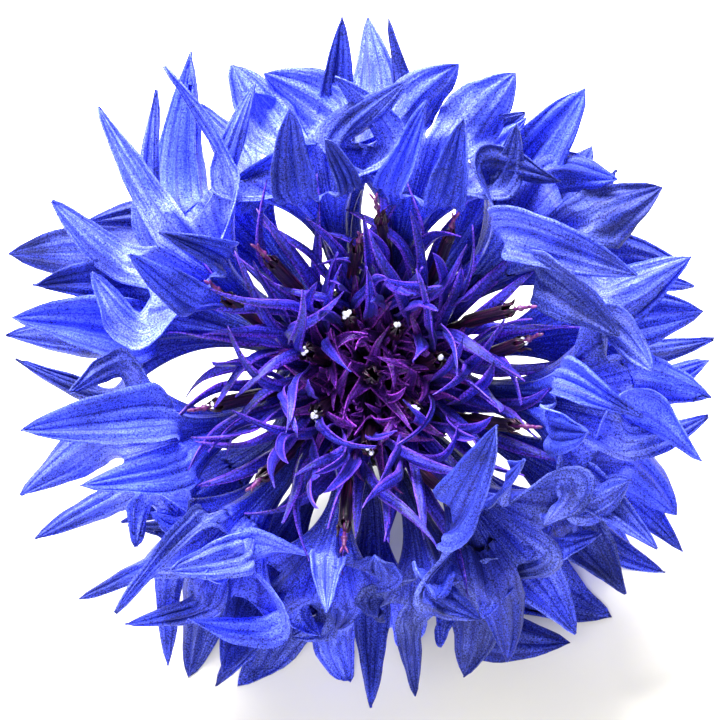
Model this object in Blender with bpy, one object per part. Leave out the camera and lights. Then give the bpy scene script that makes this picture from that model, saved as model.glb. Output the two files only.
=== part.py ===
"""A cornflower head, picked just under the flower and resting face up on a table.

The head is built upright on its own axis, +Z, with its cut stem end at the origin, and an empty
then leans it forward until it rests on that cut end and on the lobes of the front ring florets.
Sizes are in metres and angles in degrees, both turned to Blender's units where they are used.
"""

import math

import bmesh
import bpy
from mathutils import Vector

MM = 0.001

# The resting lean of the whole head: forward over its front florets, then a little to one side.
LEAN_FORWARD = 32.0
LEAN_SIDE = 0.0

# Receptacle, the solid urn that the florets stand on, with its short cut stem.
STEM_LENGTH = 5.2 * MM
STEM_RADIUS = 1.2 * MM
RECEPTACLE_EDGE = 4.75 * MM  # radius of the top
RECEPTACLE_HEIGHT = 11.0 * MM  # from the stem to the top's edge
DOME_RISE = 0.9 * MM
TURN_SIDES = 24
SEAT_GAP = 0.3 * MM  # between a floret or bract and what it grows from

# Bracts: rows of overlapping pointed scales, each row one ring.
BRACT_ROWS = 4
BRACTS_IN_ROW = 9
BRACT_START = 1.7 * MM  # above the stem
BRACT_STEP = 2.4 * MM
BRACT_HEIGHT = 3.4 * MM
BRACT_THICKNESS = 0.35 * MM

# Ring florets: a thin tube, a funnel, and pointed lobes.
RING_BASE_RADIUS = 4.2 * MM
RING_PETAL = 0.3 * MM
TUBE_RADIUS_BASE = 0.32 * MM
TUBE_RADIUS_THROAT = 0.6 * MM
THROAT_REACH = 8.4 * MM
TUBE_RINGS = 4
FUNNEL_RINGS = 2
FUNNEL_LENGTH = 6.4 * MM
LOBE_LENGTH = 6.2 * MM
OBLIQUE = 0.2  # how much longer the funnel is below than above
THROAT_SLOPE = 9.0
RIM_SLOPES = (14.0, 26.0)  # of the funnel at its rim, above and below, and at its sides
TIP_SLOPES = (24.0, 34.0)  # of the lobes at their tips, in the same order

# Disc florets: a slim corolla with five narrow lobes, and the dark anther tube and style in it.
DISC_OUTER_RADIUS = 2.85 * MM
DISC_INNER_RADIUS = 1.45 * MM
DISC_PETAL = 0.2 * MM
DISC_FOOT_LIFT = SEAT_GAP + DISC_PETAL / 2
LEAN_AT_FOOT = 0.45  # share of a disc floret's lean that it leaves the receptacle with
DISC_LOBES = 5
DISC_TUBE_LENGTH = 7.0 * MM
DISC_LOBE_LENGTH = 1.8 * MM
DISC_LOBE_SLOPES = (20.0, 50.0)
COLUMN_START = 6.1 * MM
COLUMN_LENGTH = 8.4 * MM
COLUMN_SIDES = 7
YOUNG_LENGTH = 10.0 * MM
# Corolla, up to its throat: distance along it as a share, and radius in mm.
COROLLA_PROFILE = ((0.0, 0.3), (0.38, 0.34), (0.72, 0.4), (0.87, 0.72), (1.0, 0.8))
# Anther tube and style: distance along the column as a share, and radius in mm.
COLUMN_PROFILE = (
    (0.0, 0.2), (0.25, 0.26), (0.32, 0.42), (0.72, 0.42), (0.8, 0.2), (0.94, 0.18), (1.0, 0.3),
)
# Young floret: distance along it as a share, radius in mm, and how deep it is notched there.
YOUNG_PROFILE = (
    (0.0, 0.38, 0.0), (0.4, 0.42, 0.0), (0.6, 0.8, 0.0), (0.74, 1.25, 0.45), (0.76, 0.9, 0.27),
    (0.7, 0.4, 0.0), (0.95, 0.36, 0.0),
)

# Ring florets, in order round the head: where each points (0 is right, 90 is the raised back,
# 270 the front), the height of its throat over the receptacle in mm, its rise out of the head's
# plane, how much further its inner lobes turn up, its size, and its number of lobes.
RING_FLORETS = (
    ("east", 9, 0.8, -4, 0, 1.0, 5),
    ("east_northeast", 34, 5.3, 26, 20, 1.06, 6),
    ("northeast", 54, 0.8, -2, 0, 1.0, 5),
    ("north_northeast", 72, 5.3, 28, 40, 1.0, 6),
    ("north", 91, 0.8, 0, 0, 1.0, 5),
    ("north_northwest", 110, 5.4, 28, 45, 1.0, 6),
    ("northwest", 128, 0.8, 0, 0, 1.05, 5),
    ("west_northwest", 149, 5.5, 34, 20, 1.0, 6),
    ("west", 166, 0.8, -2, 0, 1.1, 6),
    ("west_southwest", 189, 5.2, 28, 20, 1.1, 6),
    ("southwest_low", 208, 0.6, -7, 0, 0.85, 5),
    ("southwest", 224, 4.9, 22, 10, 1.1, 6),
    ("south_southwest", 240, 0.6, -4.8, 0, 1.08, 5),
    ("south_high", 256, 5.2, 20, 10, 0.82, 5),
    ("south", 270, 0.6, 1, 0, 0.95, 5),
    ("south_southeast", 283, 4.5, 12, 0, 0.87, 5),
    ("southeast_high", 302, 5.8, 36, 40, 1.02, 6),
    ("southeast", 316, 0.6, -20.2, 0, 1.05, 5),
    ("east_southeast", 333, 3.8, 9, 0, 1.05, 5),
    ("east_high", 353, 5.6, 32, 20, 1.06, 6),
)

# Outer disc florets: where each points, and how far it leans from the axis at its tip.
DISC_OUTER = (
    (8, 52), (32, 46), (56, 52), (79, 46), (104, 50), (131, 47),
    (157, 52), (190, 47), (222, 50), (256, 46), (294, 50), (334, 47),
)
# Inner disc florets, round the middle one, with the same two numbers.
DISC_INNER = (
    (13, 28), (62, 18), (112, 24), (160, 28), (214, 26), (268, 30), (322, 18),
)


def clear_scene():
    for held in list(bpy.data.objects):
        bpy.data.objects.remove(held)


def principled(name, colour, roughness):
    material = bpy.data.materials.new(name)
    material.use_nodes = True
    shader = material.node_tree.nodes["Principled BSDF"]
    shader.inputs["Base Color"].default_value = (*colour, 1.0)
    shader.inputs["Roughness"].default_value = roughness
    shader.inputs["Metallic"].default_value = 0.0
    return material


def add_object(name, mesh, material, head, azimuth=0.0):
    mesh.materials.append(material)
    mesh.shade_smooth()
    part = bpy.data.objects.new(name, mesh)
    part.rotation_euler.z = math.radians(azimuth)
    part.parent = head
    bpy.context.scene.collection.objects.link(part)
    return part


def thicken(part, thickness):
    """Gives a one-sided petal its thickness, half to each side."""
    solidify = part.modifiers.new("thickness", "SOLIDIFY")
    solidify.thickness = thickness
    solidify.offset = 0.0


def mesh_from(name, points, faces):
    """A mesh with its normals made consistent and pointing out."""
    grid = bmesh.new()
    corners = [grid.verts.new(point) for point in points]
    for face in faces:
        grid.faces.new([corners[i] for i in face])
    bmesh.ops.recalc_face_normals(grid, faces=grid.faces)
    mesh = bpy.data.meshes.new(name)
    grid.to_mesh(mesh)
    grid.free()
    return mesh


def arc(length, start, end, share=1.0):
    """Distance forward and sideways along an arc whose slope goes from start to end (radians)."""
    turn = (end - start) * share
    run = length * share
    if abs(turn) < 1e-6:
        return run * math.cos(start), run * math.sin(start)
    radius = run / turn
    forward = radius * (math.sin(start + turn) - math.sin(start))
    sideways = radius * (math.cos(start) - math.cos(start + turn))
    return forward, sideways


def bezier(start, start_handle, end_handle, end, share):
    """A point of a cubic curve."""
    rest = 1.0 - share
    return (
        start * rest**3
        + start_handle * 3 * rest**2 * share
        + end_handle * 3 * rest * share**2
        + end * share**3
    )


def bezier_tangent(start, start_handle, end_handle, end, share):
    rest = 1.0 - share
    return (
        (start_handle - start) * rest**2
        + (end_handle - start_handle) * 2 * rest * share
        + (end - end_handle) * share**2
    ).normalized()


def strip(first, second):
    """Quads between two closed rings of the same number of points."""
    count = len(first)
    return [
        (first[i], first[(i + 1) % count], second[(i + 1) % count], second[i])
        for i in range(count)
    ]


def fan(pole, ring):
    return [(pole, ring[i], ring[(i + 1) % len(ring)]) for i in range(len(ring))]


def turned_mesh(name, profile, sides):
    """A closed solid of revolution about Z from (radius, height) points that end on the axis."""
    points = []
    rings = []
    for radius, height in profile[1:-1]:
        ring = []
        for k in range(sides):
            angle = math.tau * k / sides
            ring.append(len(points))
            points.append((radius * math.cos(angle), radius * math.sin(angle), height))
        rings.append(ring)
    faces = []
    for below, above in zip(rings, rings[1:]):
        faces += strip(below, above)
    faces += fan(len(points), rings[0]) + fan(len(points) + 1, rings[-1])
    points += [(0, 0, profile[0][1]), (0, 0, profile[-1][1])]
    return mesh_from(name, points, faces)


# --- Stem and receptacle ---------------------------------------------------------------------

# Radius and height of the urn's side above the stem, in mm.
URN = (
    (1.2, 0.0), (1.5, 0.5), (2.4, 1.2), (3.3, 2.2), (4.0, 3.8), (4.45, 5.8), (4.65, 8.0),
    (4.75, 11.0),
)


def urn_radius(height):
    """Radius of the urn's side at a height above the stem, both in metres."""
    for (r0, z0), (r1, z1) in zip(URN, URN[1:]):
        if z0 * MM <= height <= z1 * MM:
            return MM * (r0 + (r1 - r0) * (height / MM - z0) / (z1 - z0))
    return RECEPTACLE_EDGE


def dome_height(radius):
    """Height of the receptacle's domed top at a distance from the axis."""
    edge = STEM_LENGTH + RECEPTACLE_HEIGHT
    return edge + DOME_RISE * (1 - (radius / RECEPTACLE_EDGE) ** 2)


def make_stem_and_receptacle(head, green):
    profile = [(0.0, 0.0), (STEM_RADIUS * 0.9, 0.0), (STEM_RADIUS, 0.1 * MM)]
    profile += [(r * MM, STEM_LENGTH + z * MM) for r, z in URN]
    for share in (0.75, 0.5, 0.25):
        radius = RECEPTACLE_EDGE * share
        profile.append((radius, dome_height(radius)))
    profile.append((0.0, dome_height(0.0)))
    mesh = turned_mesh("stem_and_receptacle", profile, TURN_SIDES)
    add_object("stem_and_receptacle", mesh, green, head)


# --- Bracts ----------------------------------------------------------------------------------


def make_bract_row(head, green, row):
    """One ring of pointed scales, leaning out so that the next row starts behind it."""
    columns = 2 * BRACTS_IN_ROW
    base = BRACT_START + row * BRACT_STEP
    near = SEAT_GAP + 0.5 * BRACT_THICKNESS + 0.1 * MM
    lean = (BRACT_THICKNESS + SEAT_GAP + 0.1 * MM) * BRACT_HEIGHT / BRACT_STEP
    points = []
    rings = []
    for share, notch in ((0.0, 0.0), (0.45, 0.0), (1.0, 0.28)):
        ring = []
        for k in range(columns):
            angle = math.tau * (k + row) / columns
            along = share - notch * (k % 2)
            height = base + along * BRACT_HEIGHT
            radius = urn_radius(height) + near + along * lean
            ring.append(len(points))
            place = (radius * math.cos(angle), radius * math.sin(angle), STEM_LENGTH + height)
            points.append(place)
        rings.append(ring)
    faces = []
    for below, above in zip(rings, rings[1:]):
        faces += strip(below, above)
    name = f"bract_row_{row + 1}"
    thicken(add_object(name, mesh_from(name, points, faces), green, head), BRACT_THICKNESS)


# --- Ring florets ----------------------------------------------------------------------------


def lobe_width(share):
    """Width of a lobe along its length, as a share of its width where it leaves the funnel."""
    return (1 - share) ** 0.75 * (1 + 1.1 * share)


def ring_floret_mesh(name, swerve, throat_height, rise, fold, size, lobes):
    """A ring floret that grows out along +X, with its base at the ring's radius.

    swerve is how far round the axis its throat lies from its base.
    """
    lift = SEAT_GAP + RING_PETAL + TUBE_RADIUS_BASE
    base = Vector((RING_BASE_RADIUS, 0, dome_height(RING_BASE_RADIUS) + lift))
    out = Vector((math.cos(swerve), math.sin(swerve), 0))
    up = Vector((0, 0, 1))
    forward = out * math.cos(rise) + up * math.sin(rise)
    below = out * math.sin(rise) - up * math.cos(rise)
    beside = forward.cross(below)
    throat = out * THROAT_REACH
    throat.z = base.z + throat_height
    leave = Vector((math.cos(math.radians(55)), 0, math.sin(math.radians(55))))
    curve = (base, base + leave * 2.4 * MM, throat - forward * 2.6 * MM, throat)

    points = [base - leave * RING_PETAL]
    ring = []
    faces = []
    for k in range(TUBE_RINGS):
        share = k / TUBE_RINGS
        along = bezier_tangent(*curve, share)
        side = up.cross(along).normalized()
        down = side.cross(along)
        radius = TUBE_RADIUS_BASE + (TUBE_RADIUS_THROAT - TUBE_RADIUS_BASE) * share
        before = ring
        ring = []
        for j in range(lobes):
            angle = math.tau * (j + 0.5) / lobes
            ring.append(len(points))
            around = down * math.cos(angle) + side * math.sin(angle)
            points.append(bezier(*curve, share) + around * radius)
        faces += strip(before, ring) if before else fan(0, ring)

    def slopes(angle):
        """Slope of the limb at its throat, at the funnel's rim and at the lobe's tip."""
        beside_it = math.sin(angle) ** 2
        above_it = max(0.0, -math.cos(angle)) ** 2
        rim = RIM_SLOPES[0] + (RIM_SLOPES[1] - RIM_SLOPES[0]) * beside_it
        tip = TIP_SLOPES[0] + (TIP_SLOPES[1] - TIP_SLOPES[0]) * beside_it + fold * above_it
        return (math.radians(THROAT_SLOPE), math.radians(rim), math.radians(tip))

    def place(angle, forward_run, outward, sideways=0.0):
        spoke = below * math.cos(angle) + beside * math.sin(angle)
        across = beside * math.cos(angle) - below * math.sin(angle)
        return throat + forward * forward_run + spoke * outward + across * sideways

    def funnel_length(angle):
        return size * FUNNEL_LENGTH * (1 + OBLIQUE * math.cos(angle))

    def on_funnel(angle, share):
        start, rim, _ = slopes(angle)
        run, outward = arc(funnel_length(angle), start, rim, share)
        return run, TUBE_RADIUS_THROAT + outward

    before = ring
    around = 2 * lobes
    for k in range(FUNNEL_RINGS + 1):
        ring = []
        for j in range(around):
            angle = math.tau * (j + 1) / around
            ring.append(len(points))
            points.append(place(angle, *on_funnel(angle, k / FUNNEL_RINGS)))
        if k:
            faces += strip(before, ring)
        else:
            for j in range(lobes):
                here, there = before[j], before[(j + 1) % lobes]
                left, middle, right = ring[2 * j], ring[2 * j + 1], ring[(2 * j + 2) % around]
                faces += [(here, middle, left), (here, there, middle), (there, right, middle)]
        before = ring

    for j in range(lobes):
        left, middle, right = before[2 * j], before[2 * j + 1], before[(2 * j + 2) % around]
        angle = math.tau * (2 * j + 2) / around
        run, outward = on_funnel(angle, 1.0)
        _, rim, tip = slopes(angle)
        half = (points[left] - points[right]).length / 2
        length = size * LOBE_LENGTH * (1 + 0.12 * math.cos(angle))
        share = 0.5
        ahead, wider = arc(length, rim, tip, share)
        row = []
        for sideways in (-half, 0.0, half):
            row.append(len(points))
            points.append(place(angle, run + ahead, outward + wider, sideways * lobe_width(share)))
        ahead, wider = arc(length, rim, tip)
        end = len(points)
        points.append(place(angle, run + ahead, outward + wider))
        faces += [(left, middle, row[1], row[0]), (middle, right, row[2], row[1])]
        faces += [(row[0], row[1], end), (row[1], row[2], end)]
    return mesh_from(name, points, faces)


def make_ring_florets(head, blue):
    count = len(RING_FLORETS)
    for k, (place, azimuth, height, rise, fold, size, lobes) in enumerate(RING_FLORETS):
        base_azimuth = RING_FLORETS[0][1] - 1 + 360 * k / count
        swerve = (azimuth - base_azimuth + 180) % 360 - 180
        name = "ring_floret_" + place
        mesh = ring_floret_mesh(
            name, math.radians(swerve), height * MM, math.radians(rise), fold, size, lobes
        )
        thicken(add_object(name, mesh, blue, head, base_azimuth), RING_PETAL)


# --- Disc florets ----------------------------------------------------------------------------


def leaning_line(radius, lean, distance, length):
    """Where a disc floret's centre line is at a distance from its base, and its direction.

    It leaves the receptacle at under half its full lean and bends over along its length.
    """
    start = LEAN_AT_FOOT * lean
    up, out = arc(length, start, lean, distance / length)
    slope = start + (lean - start) * distance / length
    foot = dome_height(radius) + DISC_FOOT_LIFT
    centre = Vector((radius + out, 0, foot + up))
    along = Vector((math.sin(slope), 0, math.cos(slope)))
    return centre, along


def spoke(along, angle):
    """The direction at an angle round a disc floret's centre line."""
    side = Vector((0, 1, 0))
    return side.cross(along) * math.cos(angle) + side * math.sin(angle)


def swept_ring(points, centre, along, reach, count, turn=0.0):
    """Adds a ring of points round a centre line and returns their numbers."""
    first = len(points)
    for j in range(count):
        points.append(centre + spoke(along, math.tau * j / count + turn) * reach)
    return list(range(first, first + count))


def disc_corolla_mesh(name, lean):
    """The slim corolla: a stalk that opens into a throat with five narrow lobes."""
    whole = COLUMN_START + COLUMN_LENGTH
    half_turn = math.pi / DISC_LOBES
    foot, along = leaning_line(DISC_OUTER_RADIUS, lean, 0.0, whole)
    points = [foot - along * DISC_PETAL / 2]
    ring = []
    faces = []
    for share, radius in COROLLA_PROFILE:
        before = ring
        centre, along = leaning_line(DISC_OUTER_RADIUS, lean, share * DISC_TUBE_LENGTH, whole)
        ring = swept_ring(points, centre, along, radius * MM, DISC_LOBES, half_turn)
        faces += strip(before, ring) if before else fan(0, ring)
    ahead, wider = arc(DISC_LOBE_LENGTH, *map(math.radians, DISC_LOBE_SLOPES))
    reach = COROLLA_PROFILE[-1][1] * MM * math.cos(half_turn) + wider
    for j in range(DISC_LOBES):
        outward = spoke(along, math.tau * (j + 1) / DISC_LOBES)
        faces.append((ring[j], ring[(j + 1) % DISC_LOBES], len(points)))
        points.append(centre + along * ahead + outward * reach)
    return mesh_from(name, points, faces)


def disc_column_mesh(name, lean):
    """The anther tube with the style that comes out of its tip."""
    whole = COLUMN_START + COLUMN_LENGTH
    points = []
    ring = []
    faces = []
    for share, radius in COLUMN_PROFILE:
        before = ring
        distance = COLUMN_START + share * COLUMN_LENGTH
        centre, along = leaning_line(DISC_OUTER_RADIUS, lean, distance, whole)
        ring = swept_ring(points, centre, along, radius * MM, COLUMN_SIDES)
        faces += strip(before, ring) if before else [tuple(ring)]
    faces.append(tuple(ring))
    return mesh_from(name, points, faces)


def young_floret_mesh(name, radius, lean):
    """A young floret: a rayed collar of lobes round a short blunt column."""
    points = []
    ring = []
    faces = []
    for share, reach, notch in YOUNG_PROFILE:
        before = ring
        centre, along = leaning_line(radius, lean, share * YOUNG_LENGTH, YOUNG_LENGTH)
        ring = swept_ring(points, centre, along, reach * MM, 2 * DISC_LOBES)
        for between in ring[1::2]:
            points[between] = points[between].lerp(centre, notch)
        faces += strip(before, ring) if before else [tuple(ring)]
    tip, _ = leaning_line(radius, lean, YOUNG_LENGTH, YOUNG_LENGTH)
    faces += fan(len(points), ring)
    points.append(tip)
    return mesh_from(name, points, faces)


def make_disc_florets(head, violet, dark):
    for k, (azimuth, lean) in enumerate(DISC_OUTER):
        lean = math.radians(lean)
        name = f"disc_corolla_{k + 1:02d}"
        corolla = add_object(name, disc_corolla_mesh(name, lean), violet, head, azimuth)
        thicken(corolla, DISC_PETAL)
        name = f"anther_column_{k + 1:02d}"
        add_object(name, disc_column_mesh(name, lean), dark, head, azimuth)
    for k, (azimuth, lean) in enumerate(DISC_INNER):
        name = f"young_floret_{k + 1}"
        mesh = young_floret_mesh(name, DISC_INNER_RADIUS, math.radians(lean))
        add_object(name, mesh, violet, head, azimuth)
    name = f"young_floret_{len(DISC_INNER) + 1}"
    add_object(name, young_floret_mesh(name, 0.0, 0.0), violet, head)


# --- The whole head --------------------------------------------------------------------------


def stand_on_table(head):
    """Moves the leaning head so that its lowest point is at Z = 0 and its box is centred."""
    bpy.context.view_layer.update()
    graph = bpy.context.evaluated_depsgraph_get()
    low = Vector((math.inf,) * 3)
    high = Vector((-math.inf,) * 3)
    for part in head.children:
        shown = part.evaluated_get(graph)
        for vertex in shown.data.vertices:
            place = shown.matrix_world @ vertex.co
            low = Vector(map(min, low, place))
            high = Vector(map(max, high, place))
    head.location = (-(low.x + high.x) / 2, -(low.y + high.y) / 2, -low.z)


def main():
    clear_scene()
    green = principled("bract_green", (0.12, 0.22, 0.07), 0.6)
    blue = principled("petal_blue", (0.05, 0.06, 0.68), 0.55)
    violet = principled("disc_violet", (0.08, 0.02, 0.30), 0.55)
    dark = principled("anther_purple", (0.02, 0.005, 0.05), 0.45)
    head = bpy.data.objects.new("head", None)
    bpy.context.scene.collection.objects.link(head)
    head.rotation_mode = "YXZ"
    head.rotation_euler = (math.radians(LEAN_FORWARD), math.radians(LEAN_SIDE), 0.0)
    make_stem_and_receptacle(head, green)
    for row in range(BRACT_ROWS):
        make_bract_row(head, green, row)
    make_ring_florets(head, blue)
    make_disc_florets(head, violet, dark)
    stand_on_table(head)


main()
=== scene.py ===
# %% [markdown]
# # A cornflower head, resting face up on a pale table
# A cornflower is a head of many small flowers, called florets. Twenty large trumpet-shaped ones
# stand in the ring and make the blue outline. Small violet ones fill the disc, with dark anther
# tubes, magenta styles and grains of white pollen. Green scales, the bracts, hold them from below.
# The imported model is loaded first. It fixes where every piece is, and nothing here moves it.

# %% Load the frame
import random
from functools import partial
from math import atan2, copysign, cos, exp, pi, radians, sin, tau

import bmesh
import bpy
from mathutils import Matrix, Vector


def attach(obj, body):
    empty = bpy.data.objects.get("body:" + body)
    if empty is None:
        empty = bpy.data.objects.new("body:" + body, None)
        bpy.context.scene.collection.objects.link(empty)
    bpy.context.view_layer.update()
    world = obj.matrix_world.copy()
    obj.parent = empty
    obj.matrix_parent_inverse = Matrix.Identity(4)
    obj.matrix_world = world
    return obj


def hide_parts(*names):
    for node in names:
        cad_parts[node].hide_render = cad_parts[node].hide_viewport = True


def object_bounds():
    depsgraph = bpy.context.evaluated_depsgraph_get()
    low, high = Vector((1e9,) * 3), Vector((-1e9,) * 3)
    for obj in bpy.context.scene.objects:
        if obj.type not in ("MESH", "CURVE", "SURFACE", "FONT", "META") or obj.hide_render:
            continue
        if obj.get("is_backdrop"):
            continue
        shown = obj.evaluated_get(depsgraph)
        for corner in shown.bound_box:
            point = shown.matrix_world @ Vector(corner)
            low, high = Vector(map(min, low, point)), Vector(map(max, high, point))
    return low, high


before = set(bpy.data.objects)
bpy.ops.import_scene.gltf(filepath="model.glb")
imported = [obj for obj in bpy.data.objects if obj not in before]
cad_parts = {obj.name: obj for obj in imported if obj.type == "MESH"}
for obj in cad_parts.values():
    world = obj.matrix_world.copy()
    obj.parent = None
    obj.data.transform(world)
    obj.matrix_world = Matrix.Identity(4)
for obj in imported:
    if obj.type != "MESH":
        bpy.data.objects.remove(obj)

MM = 0.001
cad_low, cad_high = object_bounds()
print("nodes", len(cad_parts), "box", tuple(cad_low), tuple(cad_high))

# %% [markdown]
# ## The head's own frame
# The flower was modelled upright and then leaned forward over its front petals. Shapes are far
# easier to think about upright: Z runs up the flower's axis, 0 degrees is to the right, 90 is the
# raised back and 270 the front. The cut stem end is the origin, and it is found from the packed
# stem, as the points that lie lowest along the leaning axis.

# %% Find the head's frame
LEAN_FORWARD = 32.0
lean = Matrix.Rotation(radians(LEAN_FORWARD), 4, "X")
head_axis = lean.to_3x3() @ Vector((0, 0, 1))
stem_points = [v.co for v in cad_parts["stem_and_receptacle"].data.vertices]
lowest = min(p.dot(head_axis) for p in stem_points)
cut_points = [p for p in stem_points if p.dot(head_axis) < lowest + 0.01 * MM]
cut_end = Vector(map(sum, zip(*cut_points))) / len(cut_points)
cut_end += head_axis * (lowest - cut_end.dot(head_axis))
HEAD = Matrix.Translation(cut_end) @ lean
print("cut end at", tuple(round(c / MM, 2) for c in cut_end), "mm")

# %% [markdown]
# ## Camera, light and table
# The flower is looked at straight down its own axis, so the camera stands on that axis, with a
# long lens that keeps the petals' sizes true. Most of the light is a soft panel above and behind,
# a little to the left, because thin petals glow when some light comes through them. A wider, weaker
# panel in front and an even white world fill the shadows, so that the folds stay blue, not black.

# %% Set up the camera, the lights and the table
CAMERA_DISTANCE = 0.30
VIEW_WIDTH = 46.6 * MM
FLOWER_MIDDLE = HEAD @ Vector((-0.77 * MM, 0.97 * MM, 19.0 * MM))

camera_data = bpy.data.cameras.new("camera")
camera_data.sensor_width = 36.0
camera_data.lens = camera_data.sensor_width * CAMERA_DISTANCE / VIEW_WIDTH
camera_data.clip_start = 0.01
camera = bpy.data.objects.new("camera", camera_data)
camera.location = FLOWER_MIDDLE + head_axis * CAMERA_DISTANCE
camera.rotation_euler = head_axis.to_track_quat("Z", "Y").to_euler()
bpy.context.scene.collection.objects.link(camera)
bpy.context.scene.camera = camera


def add_panel(name, place, width, power, colour):
    """A soft square light that faces the flower."""
    light = bpy.data.lights.new(name, "AREA")
    light.size = width
    light.energy = power
    light.color = colour
    lamp = bpy.data.objects.new(name, light)
    lamp.location = place
    lamp.rotation_euler = (Vector(place) - FLOWER_MIDDLE).to_track_quat("Z", "Y").to_euler()
    bpy.context.scene.collection.objects.link(lamp)


add_panel("key_panel", (-0.10, 0.25, 0.42), 0.24, 14.5, (1.0, 1.0, 1.0))
add_panel("fill_panel", (-0.10, -0.40, 0.30), 0.40, 2.8, (1.0, 1.0, 1.0))

world = bpy.data.worlds.new("studio")
world.use_nodes = True
world.node_tree.nodes["Background"].inputs["Color"].default_value = (1.0, 1.0, 1.0, 1.0)
world.node_tree.nodes["Background"].inputs["Strength"].default_value = 0.5
bpy.context.scene.world = world
bpy.context.scene.view_settings.view_transform = "Standard"
print("lens", round(camera_data.lens), "mm")

# %% [markdown]
# ## Materials
# A petal is a thin sheet of living cells, each with a tiny cone on top. The cones give the velvet
# look: no sharp highlights, a rich colour, and a pale bloom at grazing angles. Colours are written
# as sRGB hex values, as any paint program shows them, and one function turns them to the linear
# values that the renderer works in. One helper adds a node, sets it up and links its inputs.


# %% Colour and node helpers
def linear(hex_colour):
    """An sRGB colour such as "3a45e0" as linear red, green, blue and alpha."""
    parts = [int(hex_colour[i : i + 2], 16) / 255 for i in (0, 2, 4)]
    return (*[c / 12.92 if c <= 0.04045 else ((c + 0.055) / 1.055) ** 2.4 for c in parts], 1.0)


def add_node(tree, kind, inputs=(), output=0, stops=(), **settings):
    """Adds a node, sets its settings, and returns one of its outputs, if it has any.

    Inputs are in the node's own order or by name, and each is a value or another node's output.
    For MapRange the order is the value, the range it is in, and the range it goes to. A colour
    ramp's stops are (place, hex colour).
    """
    made = tree.nodes.new("ShaderNode" + kind)
    for name, value in settings.items():
        setattr(made, name, value)
    for k, (place, colour) in enumerate(stops):
        stop = made.color_ramp.elements[k] if k < 2 else made.color_ramp.elements.new(place)
        stop.position = place
        stop.color = linear(colour)
    for socket, value in inputs.items() if isinstance(inputs, dict) else enumerate(inputs):
        if isinstance(value, bpy.types.NodeSocket):
            tree.links.new(value, made.inputs[socket])
        else:
            made.inputs[socket].default_value = value
    return made.outputs[output] if made.outputs else None


def new_material(name):
    """A material with an empty node tree, and a function that adds nodes to that tree."""
    material = bpy.data.materials.new(name)
    material.use_nodes = True
    material.node_tree.nodes.clear()
    return material, partial(add_node, material.node_tree)


print("helpers ready")


# %% [markdown]
# ## Petal material
# The colour runs along the floret, from violet at the foot of the tube to clear blue on the lobes,
# and it has reached its last shade half way along them. On ring petals the tube and the funnel are
# kept far darker than the lobes, and the inside darker than the outside: that is painted shade, for
# the hollow of the funnel. Fine veins run lengthwise and meet in each lobe's tip, so they are drawn
# in the petal's own coordinates: U counts lobes round the floret and V runs from 0 at the foot to 4
# at the tips. Broad pale ridges run the same way, and their paleness is a painted highlight on the
# raised streaks. The grain is the cones, drawn about 0.1 mm wide, which is coarser than they are, so
# that it shows. A share of the light goes through, as in any thin petal. Ring lobes are never all
# the same shade, so each has its own tone at random, and three florets that lie in shade are also
# darkened with painted shade. Both are kept with the mesh as one attribute. Disc lobes are glossier
# and have magenta edges.


# %% Petal materials
LAST_SHADE_AT = 3.0  # how far along the pattern the colour ramp ends
BLOTCH_SIZE = 3.5 * MM
RIDGE_STRETCH = (9.0, 0.9, 1.0)  # ridges are close together across a lobe and long along it
LIGHT_THROUGH = 0.25


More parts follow.
